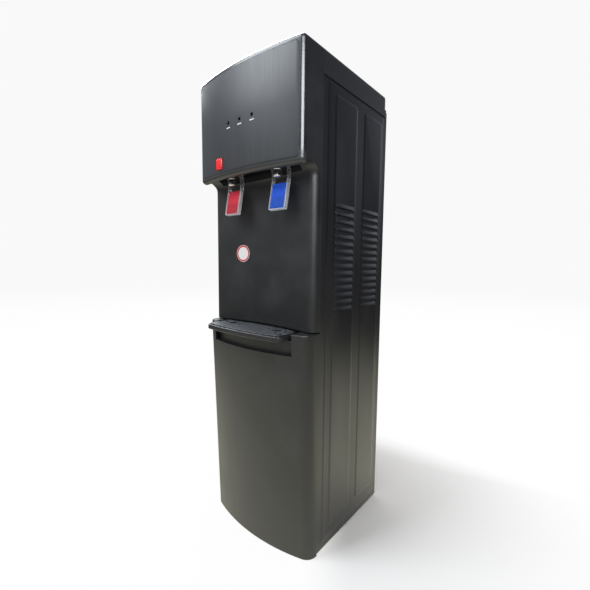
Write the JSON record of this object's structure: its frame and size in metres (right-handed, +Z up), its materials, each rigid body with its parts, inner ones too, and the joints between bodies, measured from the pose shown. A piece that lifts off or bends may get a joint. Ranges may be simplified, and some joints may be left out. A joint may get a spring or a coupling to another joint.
{
  "type": "top-loading water dispenser",
  "caption": "Tall black floor-standing water dispenser with a bowed control head, hot and cold push-lever taps over a cup recess and drip tray, louvred sides and a bottle well on top.",
  "frame": {"origin": "centre of the bounding box in plan, at floor level under the rubber feet", "axes": "+X to the right seen from the front, +Y to the rear, +Z up"},
  "size_m": [0.31, 0.366, 1.004],
  "materials": {
    "black_plastic": "satin black moulding",
    "facia_film": "satin dark grey-blue",
    "black_sheet": "satin black powder coat",
    "grille_plastic": "pebbled",
    "inner_plastic": "plain",
    "valve_plastic": "plain",
    "red_plastic": "bright red",
    "clear_plastic": "clear",
    "hot_insert": "crimson",
    "cold_insert": "vivid blue",
    "chrome": "bright",
    "spring_steel": "plain",
    "stainless": "plain",
    "galvanised": "plain",
    "foam": "plain",
    "silicone": "soft",
    "black_rubber": "soft",
    "label_white": "plain white with a red border",
    "copper": "drawn tube",
    "black_iron": "black enamel",
    "board_green": "plain",
    "condenser_black": "black enamel",
    "switch_green": "plain",
    "lens_dark": "dark lens"
  },
  "bodies": {
    "cabinet": {"base_plate": "galvanised", "rubber_feet": "black_rubber", "lower_front_panel": "black_plastic", "upper_front_housing": "black_plastic", "head_bezel": "black_plastic", "control_facia": "facia_film", "indicator_lenses": "lens_dark", "indicator_board": "board_green", "lock_button_spring": "spring_steel", "top_cover": "black_plastic", "seat_gasket": "silicone", "left_side_panel": "black_sheet", "right_side_panel": "black_sheet", "rear_panel": "galvanised", "round_label": "label_white", "hot_tap_body": "valve_plastic", "cold_tap_body": "valve_plastic", "tap_nozzles": "chrome", "tap_bonnets": "valve_plastic", "hot_tap_spring": "spring_steel", "cold_tap_spring": "spring_steel", "lever_pivot_pins": "stainless", "tap_nuts": "valve_plastic", "cold_tank": "stainless", "cold_tank_jacket": "foam", "evaporator_coil": "copper", "tank_baffle": "inner_plastic", "tank_shelf": "galvanised", "hot_tank": "stainless", "hot_tank_jacket": "foam", "heater_band": "stainless", "tank_thermostats": "valve_plastic", "transfer_pipe": "silicone", "tap_hoses": "silicone", "drain_hoses": "silicone", "drain_outlets": "valve_plastic", "compressor": "black_iron", "compressor_grommets": "black_rubber", "filter_drier": "copper", "refrigerant_tubes": "copper", "condenser": "condenser_black", "condenser_brackets": "galvanised", "switch_frame": "valve_plastic", "cord_gland": "black_rubber", "panel_screws": "chrome"},
    "hot_lever": {"hot_tap_lever": "clear_plastic", "hot_lever_insert": "hot_insert"},
    "cold_lever": {"cold_tap_lever": "clear_plastic", "cold_lever_insert": "cold_insert"},
    "hot_plunger": {"hot_tap_plunger": "valve_plastic"},
    "cold_plunger": {"cold_tap_plunger": "valve_plastic"},
    "lock_button": {"hot_lock_button": "red_plastic"},
    "tray": {"drip_tray": "black_plastic"},
    "grille": {"drip_grille": "grille_plastic"},
    "seat": {"bottle_seat": "inner_plastic"},
    "hot_rocker": {"hot_switch_rocker": "red_plastic"},
    "cold_rocker": {"cold_switch_rocker": "switch_green"},
    "hot_cap": {"hot_drain_cap": "black_plastic"},
    "cold_cap": {"cold_drain_cap": "black_plastic"}
  },
  "joints": [
    {"name": "hot_lever_hinge", "type": "hinge", "parent": "cabinet", "child": "hot_lever", "pos_m": [-0.0677, -0.142, 0.829], "axis": [1, 0, 0], "range_deg": [0, 6], "stiffness_Nm_per_rad": 0.3, "springref_deg": -20.05},
    {"name": "hot_plunger_slide", "type": "slide", "parent": "cabinet", "child": "hot_plunger", "axis": [0, 0, 1], "range_m": [0, 0.0011], "deforming": ["hot_tap_spring"]},
    {"name": "cold_lever_hinge", "type": "hinge", "parent": "cabinet", "child": "cold_lever", "pos_m": [0.0677, -0.142, 0.829], "axis": [1, 0, 0], "range_deg": [0, 6], "stiffness_Nm_per_rad": 0.3, "springref_deg": -20.05},
    {"name": "cold_plunger_slide", "type": "slide", "parent": "cabinet", "child": "cold_plunger", "axis": [0, 0, 1], "range_m": [0, 0.0011], "deforming": ["cold_tap_spring"]},
    {"name": "lock_button_slide", "type": "slide", "parent": "cabinet", "child": "lock_button", "axis": [0, 1, 0], "range_m": [0, 0.002], "stiffness_N_per_m": 250, "springref_m": -0.006, "deforming": ["lock_button_spring"]},
    {"name": "tray_slide", "type": "slide", "parent": "cabinet", "child": "tray", "axis": [0, -1, 0], "range_m": [0, 0.1]},
    {"name": "grille_lift", "type": "slide", "parent": "tray", "child": "grille", "axis": [0, 0, 1], "range_m": [0, 0.05]},
    {"name": "seat_lift", "type": "slide", "parent": "cabinet", "child": "seat", "axis": [0, 0, 1], "range_m": [0, 0.1]},
    {"name": "hot_rocker_hinge", "type": "hinge", "parent": "cabinet", "child": "hot_rocker", "pos_m": [0.083, 0.16, 0.868], "axis": [1, 0, 0], "range_deg": [-16, 0]},
    {"name": "cold_rocker_hinge", "type": "hinge", "parent": "cabinet", "child": "cold_rocker", "pos_m": [0.109, 0.16, 0.868], "axis": [1, 0, 0], "range_deg": [-16, 0]},
    {"name": "hot_cap_pull", "type": "slide", "parent": "cabinet", "child": "hot_cap", "axis": [0, 1, 0], "range_m": [0, 0.03]},
    {"name": "cold_cap_pull", "type": "slide", "parent": "cabinet", "child": "cold_cap", "axis": [0, 1, 0], "range_m": [0, 0.03]}
  ],
  "couplings": [
    {"joint": "hot_plunger_slide", "follows": "hot_lever_hinge", "m_per_rad": 0.00898},
    {"joint": "cold_plunger_slide", "follows": "cold_lever_hinge", "m_per_rad": 0.00898}
  ]
}
